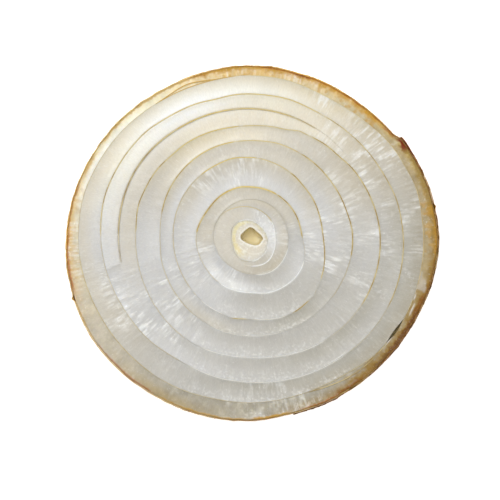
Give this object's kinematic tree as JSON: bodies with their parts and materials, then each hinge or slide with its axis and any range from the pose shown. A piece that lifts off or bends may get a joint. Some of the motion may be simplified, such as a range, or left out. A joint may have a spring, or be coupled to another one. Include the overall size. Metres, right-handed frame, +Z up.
{
  "type": "onion slice",
  "caption": "Round slice across a yellow onion: concentric pearly fleshy scales with thin tan membranes, a rolled leaf round a hollow heart, and a dry golden-brown skin.",
  "frame": {"origin": "under the middle of the slice, on the surface that it lies on", "axes": "+Z up along the bulb's growth axis, square to the cut faces; +X to the right and +Y away from a viewer who looks down on it"},
  "size_m": [0.0804, 0.0768, 0.009],
  "materials": {
    "torn_skin": "dry, brittle, red-brown outer skin with fine lengthwise veins",
    "golden_skin": "dry, papery, golden-brown skin, slightly glossy, with fine lengthwise veins",
    "leathery_scale": "half-dried tan to cream scale, moist where cut",
    "flesh": "pearly, translucent, moist cut flesh with fine fibres across each scale",
    "heart": "pale yellow-green, translucent, moist young leaf",
    "membrane": "thin, dry, tan membrane between the scales"
  },
  "bodies": {
    "root": {"torn_brown_skin": "torn_skin", "golden_skin": "golden_skin", "leathery_scale": "leathery_scale", "fleshy_scale_1": "flesh", "fleshy_scale_2": "flesh", "fleshy_scale_3": "flesh", "fleshy_scale_4": "flesh", "fleshy_scale_5": "flesh", "fleshy_scale_6": "flesh", "scroll_leaf": "flesh", "heart_leaf": "heart"}
  },
  "joints": []
}
